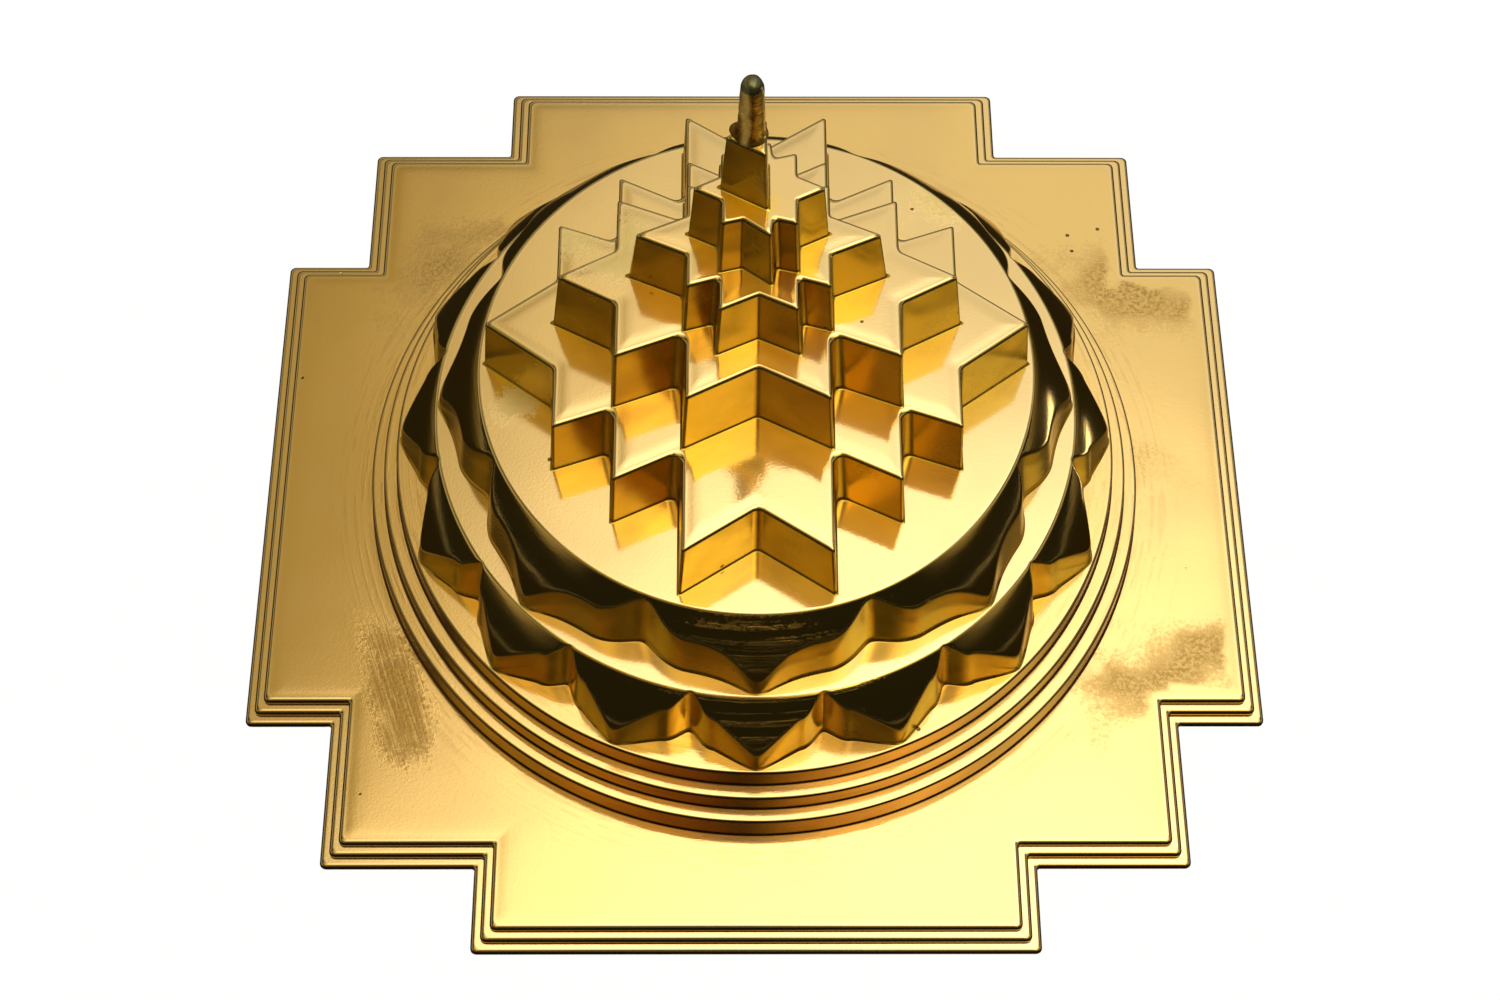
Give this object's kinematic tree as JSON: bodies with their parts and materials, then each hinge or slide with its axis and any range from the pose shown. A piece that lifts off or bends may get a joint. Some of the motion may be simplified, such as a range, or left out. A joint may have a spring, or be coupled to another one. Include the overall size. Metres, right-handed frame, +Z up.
{
  "type": "meru shri yantra",
  "caption": "Stepped brass shrine piece: a square gated base, stacked circles, petalled lotus tiers and pointed star tiers rising to a triangle and a slim peg; stands free on its flat base",
  "frame": {"origin": "centre of the square base on its underside", "axes": "+Z is up through the peg, -Y faces the viewer, +X is to the viewer's right; the apex triangle points to -X"},
  "size_m": [0.152, 0.152, 0.1023],
  "materials": {
    "polished_brass": "mirror-polished floors with hazy rubbed patches, satin walls",
    "raw_brass": "unpolished as cast",
    "fastener_steel": "plain machined"
  },
  "bodies": {
    "root": {"lower_terrace": "polished_brass", "middle_terrace": "polished_brass", "upper_terrace": "polished_brass", "lower_circle": "polished_brass", "middle_circle": "polished_brass", "upper_circle": "polished_brass", "sixteen_petal_lotus": "polished_brass", "eight_petal_lotus": "polished_brass", "fourteen_point_star": "polished_brass", "outer_ten_point_star": "polished_brass", "inner_ten_point_star": "polished_brass", "eight_point_star": "polished_brass", "apex_triangle": "polished_brass", "bindu_peg": "raw_brass", "tie_rod": "fastener_steel", "tie_rod_washer": "fastener_steel", "tie_rod_nut": "fastener_steel", "base_screws": "fastener_steel", "locating_dowels": "fastener_steel"}
  },
  "joints": []
}
